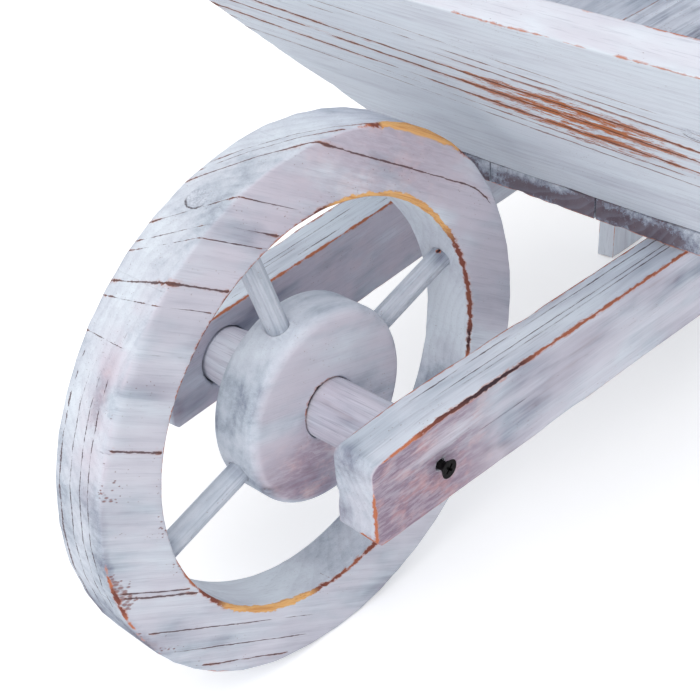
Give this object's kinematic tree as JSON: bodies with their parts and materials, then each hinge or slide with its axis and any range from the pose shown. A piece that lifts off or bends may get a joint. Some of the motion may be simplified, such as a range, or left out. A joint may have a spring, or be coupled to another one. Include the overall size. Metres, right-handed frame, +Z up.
{
  "type": "decorative wheelbarrow",
  "caption": "Small ornamental garden wheelbarrow of limewashed boards: spoked wheel on a dowel axle between long shafts, flared open tray, shaped grips and flat legs.",
  "frame": {"origin": "middle of the barrow's length and width, on the ground", "axes": "+X towards the handles with the wheel at -X, +Y towards the right arm, +Z up"},
  "size_m": [0.7984, 0.3268, 0.3169],
  "materials": {
    "limewashed_wood": "brushed lime wash over pine, worn to orange wood along the arrises",
    "grey_wash_wood": "thinner blue-grey wash over rough sawn boards",
    "worn_wood": "lime wash rubbed to pink-brown wood beside the hub",
    "black_screw": "black phosphate with a dull sheen",
    "nail_steel": "bright wire nail under filler"
  },
  "bodies": {
    "barrow": {"left_arm": "limewashed_wood", "right_arm": "limewashed_wood", "front_rail": "grey_wash_wood", "rear_rail": "grey_wash_wood", "floor_left": "grey_wash_wood", "floor_middle": "grey_wash_wood", "floor_right": "grey_wash_wood", "front_panel": "limewashed_wood", "back_panel": "limewashed_wood", "left_side": "limewashed_wood", "right_side": "limewashed_wood", "left_leg": "limewashed_wood", "right_leg": "limewashed_wood", "leg_brace": "grey_wash_wood", "floor_screws": "black_screw", "rail_screws": "black_screw", "leg_screws": "black_screw", "brace_screws": "black_screw", "corner_nails": "nail_steel", "foot_nails": "nail_steel"},
    "wheel": {"rim_cap": "limewashed_wood", "rim_top": "limewashed_wood", "rim_mid_front": "limewashed_wood", "rim_mid_rear": "limewashed_wood", "rim_low_front": "limewashed_wood", "rim_low_rear": "limewashed_wood", "rim_bottom": "limewashed_wood", "hub": "limewashed_wood", "spoke_1": "limewashed_wood", "spoke_2": "limewashed_wood", "spoke_3": "limewashed_wood", "spoke_4": "limewashed_wood", "axle": "worn_wood", "pivot_screws": "black_screw"}
  },
  "joints": [
    {"name": "wheel_spin", "type": "hinge", "parent": "barrow", "child": "wheel", "pos_m": [-0.27921, 0, 0.12], "axis": [0, 1, 0], "continuous": true}
  ]
}
